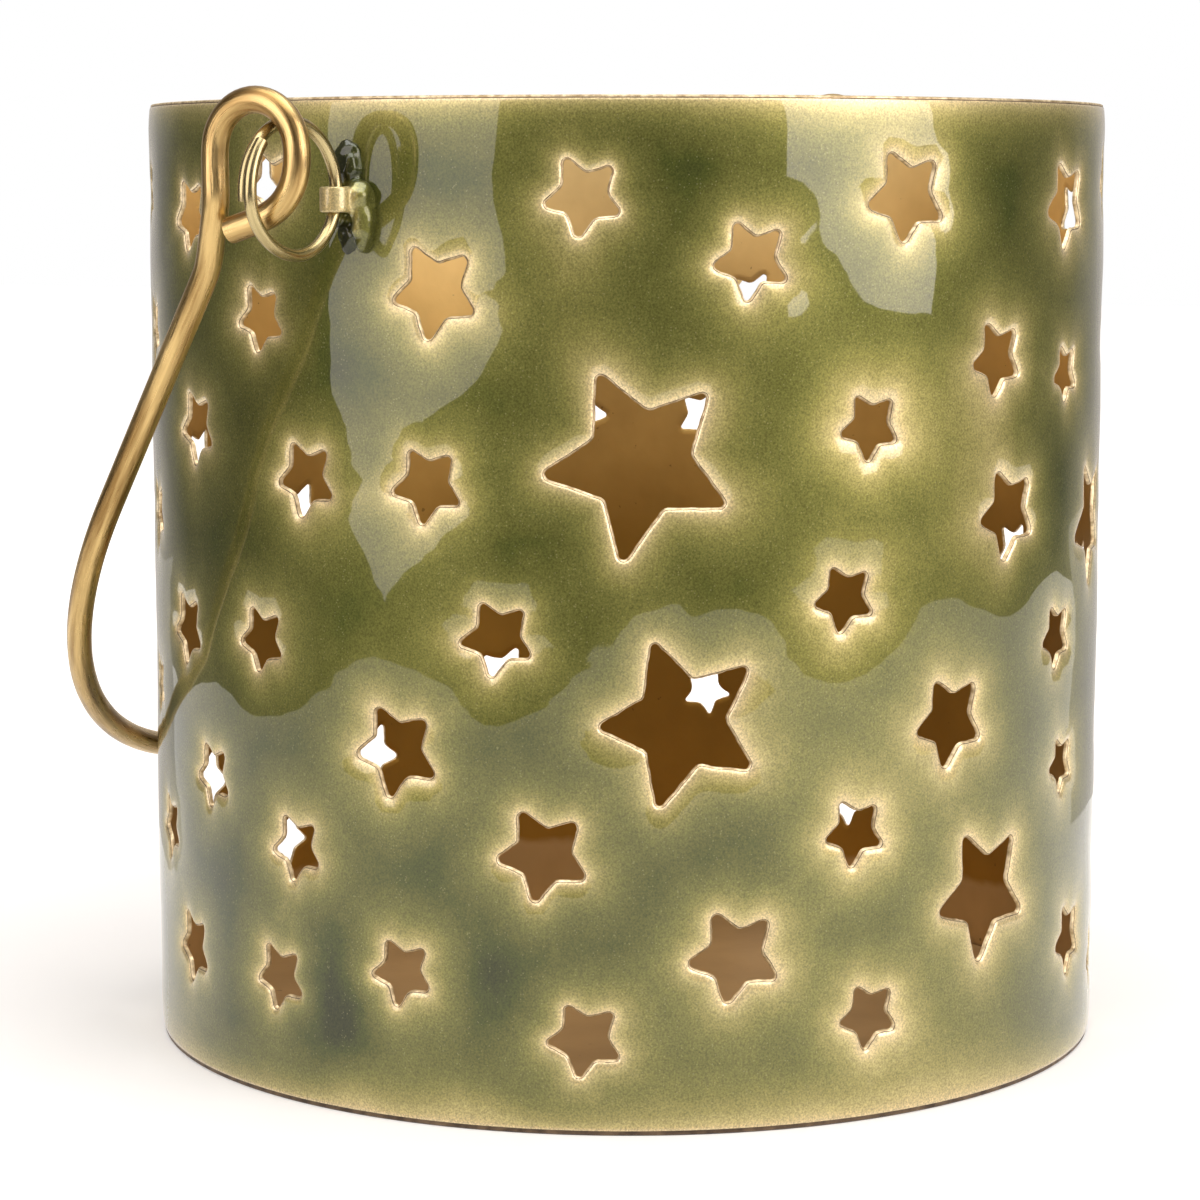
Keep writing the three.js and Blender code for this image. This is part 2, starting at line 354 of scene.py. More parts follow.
def enamel_finish():
    """Olive glass over metal: pale where it is thin, with fine flakes under a glossy coat, and paler
    towards the right as painted light.
    """
    finish, tree, shader = new_finish("olive_enamel")
    place = object_place(tree)
    depth = node(tree, "ShaderNodeAttribute", attribute_name="edge_distance").outputs["Fac"]
    pools = noise_of(tree, 34.0, 2.0)
    clouds = noise_of(tree, 240.0, 3.0)
    # Painted light from the right: the enamel is drawn thinner and paler towards the right, thicker and
    # darker towards the left
    painted_light_across = vector_of(tree, "DOT_PRODUCT", place, photo_right)["Value"]
    for share in (
            spread(tree, pools, 0.3, 0.7, 0.75, 1.3),
            spread(tree, clouds, 0.3, 0.7, 0.88, 1.12),
            spread(tree, painted_light_across, -0.03, 0.04, 1.1, 0.8)):
        depth = math_of(tree, "MULTIPLY", depth, share)
    colour = ramp(tree, math_of(tree, "DIVIDE", depth, deepest_enamel), [
        (0.000, (0.80, 0.65, 0.39)),
        (0.022, (0.63, 0.51, 0.26)),
        (0.040, (0.50, 0.42, 0.18)),
        (0.073, (0.34, 0.300, 0.105)),
        (0.125, (0.230, 0.215, 0.062)),
        (0.190, (0.163, 0.160, 0.042)),
        (0.285, (0.121, 0.122, 0.029)),
        (0.380, (0.076, 0.087, 0.018)),
        (0.550, (0.045, 0.051, 0.014)),
        (1.000, (0.018, 0.018, 0.009)),
    ])
    grain = ramp(tree, noise_of(tree, 5200.0, 2.0, 0.6), [
        (0.30, (0.66, 0.66, 0.64)), (0.72, (1.36, 1.34, 1.25))])
    colour = mixed(tree, 1.0, colour, grain, "MULTIPLY")
    cells = node(tree, "ShaderNodeTexVoronoi", {"Vector": place, "Scale": 4600.0}).outputs
    cell_tone = node(tree, "ShaderNodeSeparateColor", {"Color": cells["Color"]}).outputs["Red"]
    rare = math_of(tree, "GREATER_THAN", cell_tone, 0.9)
    core = math_of(tree, "LESS_THAN", cells["Distance"], 0.34)
    fleck = math_of(tree, "MULTIPLY", math_of(tree, "MULTIPLY", rare, core), 0.13)
    colour = mixed(tree, fleck, colour, (0.80, 0.72, 0.36))
    tree.links.new(colour, shader.inputs["Base Color"])
    flakes = node(tree, "ShaderNodeTexVoronoi", {"Vector": place, "Scale": 5200.0}).outputs["Color"]
    tree.links.new(bump_of(tree, flakes, 0.25, 0.00004), shader.inputs["Normal"])
    ripple = noise_of(tree, 130.0, 2.0, 0.4)
    tree.links.new(bump_of(tree, ripple, 0.06, 0.0006), shader.inputs["Coat Normal"])
    set_sockets(shader, {
        "Metallic": 0.6, "Roughness": 0.42, "Specular IOR Level": 0.05,
        "Coat Weight": 1.0, "Coat Roughness": 0.02, "Coat IOR": 1.47})
    return finish


def gold_finish(name, stops, roughness, metallic, grain_scale, bump_depth, along_wire=False):
    """Metal in two tones. On a wire the grain runs along it."""
    finish, tree, shader = new_finish(name)
    if along_wire:
        place = node(tree, "ShaderNodeAttribute", attribute_name="wire_place").outputs["Vector"]
    else:
        place = object_place(tree)

    def grain(scale, detail):
        return node(tree, "ShaderNodeTexNoise", {
            "Vector": place, "Scale": scale, "Detail": detail}).outputs["Fac"]

    tree.links.new(ramp(tree, grain(grain_scale, 4.0), stops), shader.inputs["Base Color"])
    fine = grain(grain_scale * 5, 3.0)
    dulled = spread(tree, fine, 0.3, 0.7, roughness - 0.06, roughness + 0.08)
    tree.links.new(dulled, shader.inputs["Roughness"])
    tree.links.new(bump_of(tree, fine, 0.5, bump_depth), shader.inputs["Normal"])
    set_sockets(shader, {"Metallic": metallic})
    return finish


def inside_finish(name, stops, metallic, roughness):
    """Lacquer whose colour follows the height, with stops in millimetres."""
    finish, tree, shader = new_finish(name)
    height = node(tree, "ShaderNodeSeparateXYZ", {"Vector": object_place(tree)}).outputs["Z"]
    patches = noise_of(tree, 60.0, 4.0)
    wander = spread(tree, patches, 0.3, 0.7, -1.0, 1.0)
    level = math_of(tree, "MULTIPLY_ADD", wander, 0.0015, height)
    colour = ramp(tree, math_of(tree, "MULTIPLY", level, 10.0), [
        (mm / 100, tone) for mm, tone in stops])
    shade = ramp(tree, patches, [(0.3, (0.82, 0.80, 0.78)), (0.7, (1.15, 1.15, 1.15))])
    colour = mixed(tree, 1.0, colour, shade, "MULTIPLY")
    specks = spread(tree, noise_of(tree, 900.0, 2.0), 0.72, 0.75, 0.0, 0.5)
    colour = mixed(tree, specks, colour, (0.08, 0.045, 0.018))
    tree.links.new(colour, shader.inputs["Base Color"])
    fine = noise_of(tree, 1400.0, 3.0)
    tree.links.new(bump_of(tree, fine, 0.4, 0.00004), shader.inputs["Normal"])
    set_sockets(shader, {"Roughness": roughness, "Metallic": metallic})
    return finish


# Star outlines on the unrolled wall

def unit(vector):
    return vector / np.linalg.norm(vector)


def along_at(degrees):
    angle = math.radians(degrees)
    return np.array([math.cos(angle), math.sin(angle)])


def rounded_corner(corners, index):
    """Where the rounding of one corner starts, its middle, and where it ends."""
    corner, rounding = corners[index % len(corners)]
    before = unit(corners[(index - 1) % len(corners)][0] - corner)
    after = unit(corners[(index + 1) % len(corners)][0] - corner)
    half = math.acos(float(np.clip(before @ after, -1, 1))) / 2
    reach = rounding / math.tan(half)
    centre = corner + unit(before + after) * rounding / math.sin(half)
    return corner + before * reach, centre, corner + after * reach


def star_corners(size, lean, dice):
    """Five tips and five notches, each with its rounding."""
    notch = small_star_notch if size < large_star else large_star_notch
    tip_round = min(largest_tip_round, tip_round_share * size)
    half_tip = math.atan2(notch * math.sin(math.pi / 5), 1 - notch * math.cos(math.pi / 5))
    sharp = size + tip_round * (1 / math.sin(half_tip) - 1)
    lowest = 270 - lean + dice.uniform(-star_turn, star_turn)
    corners = []
    for tip in range(5):
        direction = along_at(lowest + 72 * tip + dice.uniform(-tip_turn, tip_turn))
        reach = sharp * dice.uniform(1 - tip_stray, 1 + tip_stray)
        corners.append((direction * reach, tip_round))
        corners.append((along_at(lowest + 72 * tip + 36) * size * notch, notch_round))
    return corners


def star_outline(size, lean, seed):
    """The outline of one star round its middle, a little wavy, and its outward normals."""
    corners = star_corners(size, lean, random.Random(seed))
    points = []
    for index, (_, rounding) in enumerate(corners):
        start, centre, end = rounded_corner(corners, index)
        steps = 5 if index % 2 == 0 else 3
        first = math.atan2(*(start - centre)[::-1])
        swing = (math.atan2(*(end - centre)[::-1]) - first + math.pi) % (2 * math.pi) - math.pi
        for step in range(steps + 1):
            angle = first + swing * step / steps
            points.append(centre + rounding * np.array([math.cos(angle), math.sin(angle)]))
        target = rounded_corner(corners, index + 1)[0]
        pieces = max(1, round(float(np.linalg.norm(target - end)) / outline_step))
        for piece in range(1, pieces):
            points.append(end + (target - end) * piece / pieces)
    outline = np.array(points)
    ahead = np.roll(outline, -1, 0) - np.roll(outline, 1, 0)
    normals = np.stack([ahead[:, 1], -ahead[:, 0]], 1)
    normals /= np.linalg.norm(normals, axis=1)[:, None]
    stray = [noise.noise(Vector((x * edge_stray_scale, y * edge_stray_scale, seed * 3.7)))
             for x, y in outline]
    return outline + normals * (edge_stray * np.array(stray))[:, None], normals


def seam_line(height):
    return body_radius * math.radians(seam_bearing) + seam_slope * (height - body_height / 2)


def all_stars():
    made = []
    for size, lean, places in star_groups:
        for bearing, percent in places:
            height = body_height * percent / 100
            along = body_radius * math.radians(bearing + front_bearing)
            along = seam_line(height) + (along - seam_line(height)) % round_length
            outline, normals = star_outline(size, lean, len(made) + 1)
            made.append((outline + np.array([along, height]), normals, size))
    return made


# Enamel on the unrolled wall

def edge_distance(points, stars):
    """Distance to the nearest cut edge, blended where several are near."""
    turn = points[:, 0] / body_radius
    drips = 0.5 * np.sin(4 * turn + 1) + 0.3 * np.sin(9 * turn + 2) + 0.2 * np.sin(17 * turn)
    from_foot = points[:, 1] * (foot_thinning + foot_drips * drips)
    total = np.exp(-(body_height - points[:, 1]) / halo_blend) + np.exp(-from_foot / halo_blend)
    for outline, _, size in stars:
        middle = outline.mean(0)
        for shift in (-round_length, 0.0, round_length):
            gap = points - (middle + np.array([shift, 0.0]))
            near = np.where(np.hypot(gap[:, 0], gap[:, 1]) < size + halo_reach)[0]
            if len(near):
                to_outline = points[near][:, None] - (outline + np.array([shift, 0.0]))[None]
                nearest = np.sqrt((to_outline ** 2).sum(2)).min(1)
                total[near] += np.exp(-nearest / halo_blend)
    return np.maximum(-halo_blend * np.log(np.maximum(total, 1e-12)), 0.0)


def wall_noise(points, across, upright):
    """Soft noise that closes round the wall: how often it changes round it, and over what height."""
    return np.array([
        noise.noise(Vector((math.cos(turn) * across, math.sin(turn) * across, height / upright)))
        for turn, height in zip(points[:, 0] / body_radius, points[:, 1])])


def runs_and_light_share(points):
    """How thick the enamel is drawn at each point, as a share of the usual depth: its own runs and
    drift round the back, with painted highlight and painted shade in the listed patches.
    """
    bearing = (np.degrees(points[:, 0] / body_radius) - front_bearing + 180) % 360 - 180
    share = np.ones(len(points))
    for middle, height, reach, change in enamel_runs_and_light_patches:
        gap = np.hypot(np.radians(bearing - middle) * body_radius, points[:, 1] - height)
        share *= 1 + (change - 1) * np.exp(-(gap / reach) ** 2)
    behind = np.clip((np.abs(bearing) - drift_start) / drift_blend, 0, 1)
    return share * (1 + drift_size * behind * wall_noise(points, 2.4, 20))


def outer_radius(points, distance):
    wave = wall_noise(points, 3.2, 16)
    fill = 1 - np.exp(-distance / enamel_dip_reach)
    lip = lip_dip * np.exp(-distance / lip_dip_reach)
    return body_radius - enamel_dip * (1 - fill) - lip - enamel_wave * fill * (0.5 - 0.5 * wave)


# The wall

def inside_outline(points, outline):
    low, high = outline.min(0), outline.max(0)
    rows = np.where(np.all((points > low) & (points < high), 1))[0]
    x, y = points[rows, 0], points[rows, 1]
    crossings = np.zeros(len(rows), int)
    for (x0, y0), (x1, y1) in zip(outline, np.roll(outline, -1, 0)):
        if y0 != y1:
            across = (y0 > y) != (y1 > y)
            crossings += across & (x < (x1 - x0) * (y - y0) / (y1 - y0) + x0)
    found = np.zeros(len(points), bool)
    found[rows] = crossings % 2 == 1
    return found


def fill_sheet(points, stars, low, high, rings, grid, edge_rows):
    """Add points between the outlines, denser by the stars and edges, and none too close to another."""
    taken = {}

    def cell_of(point):
        return int(point[0] // crowding_cell), int(point[1] // crowding_cell)

    def take(point):
        taken.setdefault(cell_of(point), []).append((point[0], point[1]))

    def crowded(point, spacing):
        column, row = cell_of(point)
        return any(
            math.hypot(other[0] - point[0], other[1] - point[1]) < spacing
            for i in (-1, 0, 1) for k in (-1, 0, 1)
            for other in taken.get((column + i, row + k), ()))

    def place(candidates, clear, spacing):
        for point, far in zip(candidates, edge_distance(candidates, stars)):
            from_seam = point[0] - seam_line(point[1])
            fits = (far >= clear and low + row_margin < point[1] < high - row_margin
                    and seam_margin < from_seam < round_length - seam_margin)
            if fits and not crowded(point, spacing):
                take(point)
                points.append(point)

    for point in points:
        take(point)
    for reach, every, spacing in rings:
        for outline, normals, _ in stars:
            place((outline + normals * reach)[::every], ring_clear_share * reach, spacing)
    along = np.arange(rim_points) / rim_points * round_length
    for reach in edge_rows:
        for height in (low + reach, high - reach):
            line = seam_line(height) + along
            place(np.stack([line, np.full(rim_points, height)], 1), 0.0, edge_row_spacing)
    across = np.arange(0, round_length, grid)
    for row, height in enumerate(np.arange(low + 1, high, grid * grid_row_share)):
        line = seam_line(height) + across + (row % 2) * grid / 2
        place(np.stack([line, np.full(len(across), height)], 1), grid_clear, grid * grid_spacing_share)


def unrolled_sheet(stars, offset, low, high, rings, grid, edge_rows):
    """Triangles of the unrolled wall between two heights, with a hole for every star."""
    points, edges, loops, rows = [], [], [], []
    for outline, normals, _ in stars:
        first, count = len(points), len(outline)
        points.extend(outline + normals * offset)
        edges.extend((first + k, first + (k + 1) % count) for k in range(count))
        loops.append(np.arange(first, first + count))
    for height in (low, high):
        first = len(points)
        for step in range(rim_points + 1):
            points.append(np.array([seam_line(height) + round_length * step / rim_points, height]))
        edges.extend((first + k, first + k + 1) for k in range(rim_points))
        rows.append(np.arange(first, first + rim_points + 1))
    seam_steps = round((high - low) / seam_step)
    for side in (0, 1):
        previous = rows[0][-side]
        for step in range(1, seam_steps):
            height = low + (high - low) * step / seam_steps
            points.append(np.array([seam_line(height) + side * round_length, height]))
            edges.append((previous, len(points) - 1))
            previous = len(points) - 1
        edges.append((previous, rows[1][-side]))
    fill_sheet(points, stars, low, high, rings, grid, edge_rows)

    flat = np.array(points)
    result = delaunay_2d_cdt([Vector(p) for p in flat], edges, [], 0, 1e-7)
    placed = np.array([tuple(p) for p in result[0]])
    where = {old: new for new, olds in enumerate(result[3]) for old in olds}
    triangles = np.array(result[2])
    middles = placed[triangles].mean(1)
    left = seam_line(middles[:, 1])
    keep = (middles[:, 0] > left) & (middles[:, 0] < left + round_length)
    for loop in loops:
        keep &= ~inside_outline(middles, flat[loop])
    first, second, third = placed[triangles].transpose(1, 2, 0)
    along, away = second - first, third - first
    keep &= np.abs(along[0] * away[1] - along[1] * away[0]) > smallest_face

    def renumbered(lines):
        return [[where[i] for i in line] for line in lines]

    return placed, triangles[keep], renumbered(loops), renumbered(rows)


def rolled(points, radius):
    angle = points[:, 0] / body_radius
    return np.stack([radius * np.cos(angle), radius * np.sin(angle), points[:, 1]], 1)


def make_wall(finishes):
    """One closed skin: enamel outside, lacquer inside, and bands between them at every cut edge."""
    stars = all_stars()
    outer, outer_faces, outer_loops, outer_rows = unrolled_sheet(
        stars, lip_bands[0][0], outer_foot, outer_rim, outer_rings, outer_grid, outer_edge_rows)
    inner, inner_faces, inner_loops, inner_rows = unrolled_sheet(
        stars, lip_bands[-1][0], inner_foot, inner_rim, inner_rings, inner_grid, inner_edge_rows)
    distance = edge_distance(outer, stars)
    corners = [rolled(outer, outer_radius(outer, distance)), rolled(inner, inner_radius)]
    depth = [distance * runs_and_light_share(outer), np.zeros(len(inner))]
    shift = len(outer)
    faces = outer_faces.tolist() + (inner_faces[:, ::-1] + shift).tolist()
    kinds = ["enamel"] * len(outer_faces) + ["inside"] * len(inner_faces)

    def add_loop(points, radius):
        first = sum(len(part) for part in corners)
        corners.append(rolled(points, radius))
        depth.append(np.zeros(len(points)))
        return list(range(first, first + len(points)))

    def add_band(first, second, kind, closed):
        length = len(first)
        for k in range(length if closed else length - 1):
            follow = (k + 1) % length
            faces.append((first[k], second[k], second[follow], first[follow]))
            kinds.append(kind)

    def close_edge(outer_row, inner_row, bands, upper):
        along = outer[outer_row][:, 0]
        previous = outer_row
        for radius, height, kind in [*bands, (inner_radius, None, "inside")]:
            if height is None:
                loop = [i + shift for i in inner_row]
            else:
                loop = add_loop(np.stack([along, np.full(len(along), height)], 1), radius)
            add_band(*((loop, previous) if upper else (previous, loop)), kind, False)
            previous = loop

    for number, (outline, normals, _) in enumerate(stars):
        previous = outer_loops[number]
        rough = np.array([noise.noise(Vector((x * ragged_scale, y * ragged_scale, number)))
                          for x, y in outline])
        for (_, _, kind), (offset, radius, next_kind) in zip(lip_bands, lip_bands[1:]):
            if next_kind == "inside":
                loop = [i + shift for i in inner_loops[number]]
            else:
                ragged = rough * (cut_ragged if next_kind == "cut" else lip_ragged)
                loop = add_loop(outline + normals * (offset + ragged)[:, None], radius)
            add_band(previous, loop, kind, True)
            previous = loop
    close_edge(outer_rows[1], inner_rows[1], rim_bands, True)
    close_edge(outer_rows[0], inner_rows[0], foot_bands, False)

    mesh = bpy.data.meshes.new("pierced_wall")
    mesh.from_pydata((np.concatenate(corners) * MM).tolist(), [], faces)
    for slot in finish_slots:
        mesh.materials.append(finishes[slot])
    slots = np.array([finish_slots.index(kind) for kind in kinds], np.int32)
    mesh.polygons.foreach_set("material_index", slots)
    mark_depth(mesh, np.concatenate(depth))
    wall = bpy.data.objects.new("pierced_wall", mesh)
    bpy.context.scene.collection.objects.link(wall)
    tidy_mesh(wall, 0.000002)
    smooth(wall, 50)
    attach(wall, "lantern")
    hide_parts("wall")


# Modelling helpers

def pick_only(piece):
    bpy.ops.object.select_all(action="DESELECT")
    piece.select_set(True)
    bpy.context.view_layer.objects.active = piece


def settle():
    bpy.ops.object.transform_apply(location=True, rotation=True, scale=True)


def tidy_mesh(piece, reach):
    pick_only(piece)
    bpy.ops.object.mode_set(mode="EDIT")
    bpy.ops.mesh.select_all(action="SELECT")
    bpy.ops.mesh.remove_doubles(threshold=reach)
    bpy.ops.mesh.normals_make_consistent(inside=False)
    bpy.ops.object.mode_set(mode="OBJECT")


def smooth(piece, degrees):
    pick_only(piece)
    bpy.ops.object.shade_smooth_by_angle(angle=math.radians(degrees))


def bevelled(piece, name, width, segments, degrees):
    bevel = piece.modifiers.new(name, "BEVEL")
    bevel.width = width * MM
    bevel.segments = segments
    bevel.limit_method = "ANGLE"
    bevel.angle_limit = math.radians(degrees)
    bpy.ops.object.modifier_apply(modifier=name)


def drawn_curve(name, points):
    """An open curve through points in metres."""
    bpy.ops.object.select_all(action="DESELECT")
    bpy.ops.curve.primitive_nurbs_path_add()
    curve = bpy.context.object
    curve.name = name
    curve.data.splines.clear()
    spline = curve.data.splines.new("POLY")
    spline.points.add(len(points) - 1)
    for point, place in zip(spline.points, points):
        point.co = (*place, 1)
    return curve


def mark_depth(mesh, depth):
    """Give every corner its distance from the cut edges, which the enamel's colour follows."""
    layer = mesh.attributes.new("edge_distance", "FLOAT", "POINT")
    layer.data.foreach_set("value", depth.astype(np.float32))


def corners_of(piece):
    return np.array([tuple(corner.co) for corner in piece.data.vertices])


def length_along(points):
    return np.r_[0, np.cumsum(np.linalg.norm(np.diff(points, axis=0), axis=1))]


def arc(centre, radius, first, last, count):
    angles = np.linspace(first, last, count)
    return np.stack([centre[0] + radius * np.cos(angles), centre[1] + radius * np.sin(angles)], 1)


# The wires

def bent_wire(name, points, diameter, sides):
    path = np.array(points) * MM
    curve = drawn_curve(name, path)
    curve.data.bevel_depth = diameter / 2 * MM
    curve.data.bevel_resolution = sides // 2 - 2
    curve.data.use_fill_caps = True
    curve.data.twist_mode = "MINIMUM"
    bpy.ops.object.convert(target="MESH")
    wire = bpy.context.object
    bevelled(wire, "cut_ends", diameter * cut_end_share, 2, 60)
    tidy_mesh(wire, 0.0000005)
    smooth(wire, 40)
    mark_grain(wire, path)
    return wire


def mark_grain(wire, path):
    """Give every corner its place along and around the wire, with the length pressed together."""
    ahead = np.gradient(path, axis=0)
    ahead /= np.linalg.norm(ahead, axis=1)[:, None]
    side = np.cross(ahead[0], [0.3, 0.5, 0.8])
    sides = []
    for direction in ahead:
        side = unit(side - direction * (side @ direction))
        sides.append(side)
    sides = np.array(sides)
    corners = corners_of(wire)
    nearest = np.concatenate([
        np.argmin(((part[:, None] - path[None]) ** 2).sum(2), 1)
        for part in np.array_split(corners, 40)])
    away = corners - path[nearest]
    along = length_along(path)[nearest] * grain_press
    across = (away * sides[nearest]).sum(1)
    upward = (away * np.cross(ahead, sides)[nearest]).sum(1)
    layer = wire.data.attributes.new("wire_place", "FLOAT_VECTOR", "POINT")
    layer.data.foreach_set("vector", np.stack([along, across, upward], 1).astype(np.float32).ravel())


def turned_about_z(points, angle):
    c, s = math.cos(angle), math.sin(angle)
    x, y, z = np.array(points).T
    return np.stack([c * x - s * y, s * x + c * y, z], 1)


def turn_of(side, bearing):
    angle = math.radians(bearing)
    return angle if side == "right" else math.pi - angle


def eased_path(points):
    """Even steps along a line of points, with its corners eased."""
    points = np.array(points)
    length = length_along(points)
    even = np.linspace(0, length[-1], round(length[-1] / handle_step) + 1)
    path = np.stack([np.interp(even, length, points[:, k]) for k in range(3)], 1)
    for _ in range(handle_easing):
        path[1:-1] = path[1:-1] * 0.5 + (path[:-2] + path[2:]) * 0.25
    return path


def make_handle(finish):
    end = hook_radius - handle_wire / 2 - hook_end_gap
    slope = math.radians(hook_bar_slope)
    low_middle = (hook_low_radius - hook_radius, -hook_straight)
    bar = arc(low_middle, hook_low_radius, math.radians(270) - slope, math.pi, 30)
    hook = [(end, bar[0][1] - (end - bar[0][0]) * math.tan(slope)), *bar]
    hook += [*arc((0, 0), hook_radius, math.pi, 0, 50)]
    hook += [(hook_radius, -shank_length)]
    left = [(-hinge_half, y, z) for y, z in hook]
    right = [(-x, y, z) for x, y, z in reversed(left)]
    tilt = math.radians(handle_tilt)
    reach = (body_radius + handle_wire / 2 + rest_gap - hinge_y) / math.sin(tilt)
    half_width = hinge_half - bow_narrowing
    middle = reach - bow_depth
    across = (hinge_half - knee_inset) / half_width
    above = (middle - knee_reach) / bow_depth
    start = math.acos(1 / math.hypot(across, above)) - math.atan2(above, across)
    flat = [(knee_inset - hinge_half, knee_reach)]
    for angle in np.linspace(start, math.pi - start, 90):
        flat.append((-half_width * math.cos(angle), middle + bow_depth * math.sin(angle)))
    flat.append((hinge_half - knee_inset, knee_reach))
    bow = [(x, s * math.sin(tilt), -s * math.cos(tilt)) for x, s in flat]
    lean = math.atan2(lug_height["right"] - lug_height["left"], 2 * hinge_half)
    turn = np.array(Matrix.Rotation(-lean, 3, "Y"))
    mid_height = (lug_height["left"] + lug_height["right"]) / 2 + hang_rise
    path = eased_path(left + bow + right) @ turn.T + np.array([0, hinge_y, mid_height])
    handle = bent_wire("wire_handle", path, handle_wire, 20)
    handle.data.materials.append(finish)
    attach(handle, "handle")
    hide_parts("handle")


def make_ring(side, finish):
    turn = 360 + ring_overlap
    hand = -1 if side == "right" else 1
    drift = hand * ring_end_shift * turn / 360
    eye_share = (180 - ring_start) / turn
    points = []
    for share in np.linspace(0, 1, 150):
        degrees = ring_start + turn * share
        opening = min(max((degrees - ring_opens_at) / ring_opens_over, 0), 1)
        ease = opening * opening * (3 - 2 * opening)
        out, up = along_at(degrees) * (ring_radius + ring_end_spread * ease)
        aside = drift * (share - eye_share) - hand * ring_end_tuck * ease
        points.append((ring_radius + out, aside, up))
    eye = turned_about_z([(eye_radius, 0, lug_height[side])], turn_of(side, lug_bearing))
    points = turned_about_z(points, turn_of(side, lug_bearing + ring_swing)) + eye
    ring = bent_wire(side + "_jump_ring", points, ring_wire, 14)
    ring.data.materials.append(finish)
    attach(ring, side + "_ring")
    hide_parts(side + "_ring")


# The strap eyes and the floor disc

def enamel_lump(centre, reach):
    bpy.ops.mesh.primitive_uv_sphere_add(
        segments=32, ring_count=20, radius=MM, location=np.array(centre) * MM, scale=reach)
    lump = bpy.context.object
    settle()
    return lump


def lug_depth(out, along, up):
    """Thin on the strap, thicker by the wall and on one side, with dark patches above and below: partly
    pooled enamel, partly painted shade and reflection of the strap and ring.
    """
    by_wall = np.clip((51.9 - out) / 1.3, 0, 1)
    one_side = np.clip((along - 1.6) / 0.8, 0, 1)
    middle = np.exp(-((along + 0.2) / 1.5) ** 2)
    # Dark patches above and below the strap: pooled enamel and painted shade together
    pool_and_shade_above_below = np.clip((np.abs(up + 0.2) - 1.7) / 0.5, 0, 1)
    root = np.clip((51.6 - out) / 0.4, 0, 1)
    return 0.4 + 2.6 * by_wall + 1.2 * one_side + 13 * middle * pool_and_shade_above_below * root


def make_lug(side, finish):
    """A strap bent into an eye, sunk in lumps of enamel where it meets the wall."""
    bend = arc((eye_radius + strap_shift, 0), strap_bend, -math.pi / 2, math.pi / 2, 24)
    plan = [(strap_foot, -strap_bend), *bend, (strap_foot, strap_bend)]
    strap = drawn_curve(side + "_eye", [(x * MM, y * MM, 0) for x, y in plan])
    strap.data.dimensions = "2D"
    strap.data.extrude = strap_height / 2 * MM
    bpy.ops.object.convert(target="MESH")
    thicken = strap.modifiers.new("thickness", "SOLIDIFY")
    thicken.thickness = strap_thickness * MM
    thicken.offset = 0
    bpy.ops.object.modifier_apply(modifier="thickness")
    lumps = [enamel_lump(centre, reach) for centre, reach in lug_lumps]
    bpy.ops.object.select_all(action="DESELECT")
    for piece in (*lumps, strap):
        piece.select_set(True)
    bpy.context.view_layer.objects.active = strap
    bpy.ops.object.join()
    merge = strap.modifiers.new("one_skin", "REMESH")
    merge.mode = "VOXEL"
    merge.voxel_size = lug_skin * MM
    bpy.ops.object.modifier_apply(modifier="one_skin")
    for corner in strap.data.vertices:
        sunk = min(max((lug_relief_end - corner.co.x / MM) / lug_relief_blend, 0), 1)
        relief = noise.noise(corner.co * lug_relief_scale) * lug_relief * sunk
        corner.co += corner.normal * relief * MM
    soften = strap.modifiers.new("soft_skin", "SMOOTH")
    soften.factor = 0.5
    soften.iterations = lug_softening
    bpy.ops.object.modifier_apply(modifier="soft_skin")
    corners = corners_of(strap) / MM
    from_axis = np.hypot(corners[:, 0], corners[:, 1])
    corners[:, :2] *= np.maximum(1, lug_root / from_axis)[:, None]
    strap.data.vertices.foreach_set("co", (corners * MM).ravel())
    mark_depth(strap.data, lug_depth(*corners.T))
    strap.rotation_euler = (0, 0, turn_of(side, lug_bearing))
    strap.location = (0, 0, (lug_height[side] - lug_sag) * MM)
    pick_only(strap)
    settle()
    smooth(strap, 60)
    strap.data.materials.append(finish)
    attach(strap, "lantern")
    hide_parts(side + "_lug")


def make_base(finish):
    bpy.ops.object.select_all(action="DESELECT")
    bpy.ops.mesh.primitive_cylinder_add(
        vertices=180, radius=(inner_radius - disc_gap) * MM, depth=disc_thickness * MM,
        location=(0, 0, disc_thickness / 2 * MM))
    base = bpy.context.object
    base.name = "floor_disc"
    settle()
    bevelled(base, "soft_edge", disc_edge, 3, 30)
    smooth(base, 40)
    base.data.materials.append(finish)
    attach(base, "lantern")
    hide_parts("base")


# Studio: pale floor, white surround, dark room, low card and softboxes

def glowing_finish(name, colour, strength):
    finish, _, shader = new_finish(name)
    set_sockets(shader, {
        "Base Color": (0, 0, 0, 1), "Specular IOR Level": 0,
        "Emission Color": (*colour, 1), "Emission Strength": strength})
    return finish


def seen_directly(tree):
    light_path = node(tree, "ShaderNodeLightPath").outputs
    seen = math_of(tree, "MAXIMUM", light_path["Is Camera Ray"], light_path["Is Glossy Ray"])
    return math_of(tree, "MAXIMUM", seen, light_path["Is Transmission Ray"])


def make_floor():
    bpy.ops.object.select_all(action="DESELECT")
    bpy.ops.mesh.primitive_plane_add(size=floor_size, location=(0, 0, 0))
    floor = bpy.context.object
    floor.name = "studio_floor"
    finish, tree, shader = new_finish("pale_floor")
    set_sockets(shader, {
        "Base Color": (0.68, 0.65, 0.625, 1), "Roughness": 0.7,
        "Emission Color": (1.0, 0.96, 0.935, 1)})
    # The floor glows for the camera and in reflections, less near the lantern: painted shade round its
    # foot
    away = vector_of(tree, "LENGTH", object_place(tree))["Value"]
    brighter = spread(tree, away, 0.05, 0.35, 0.36, 0.8)
    glow = math_of(tree, "MULTIPLY", seen_directly(tree), brighter)
    tree.links.new(glow, shader.inputs["Emission Strength"])
    floor.data.materials.append(finish)


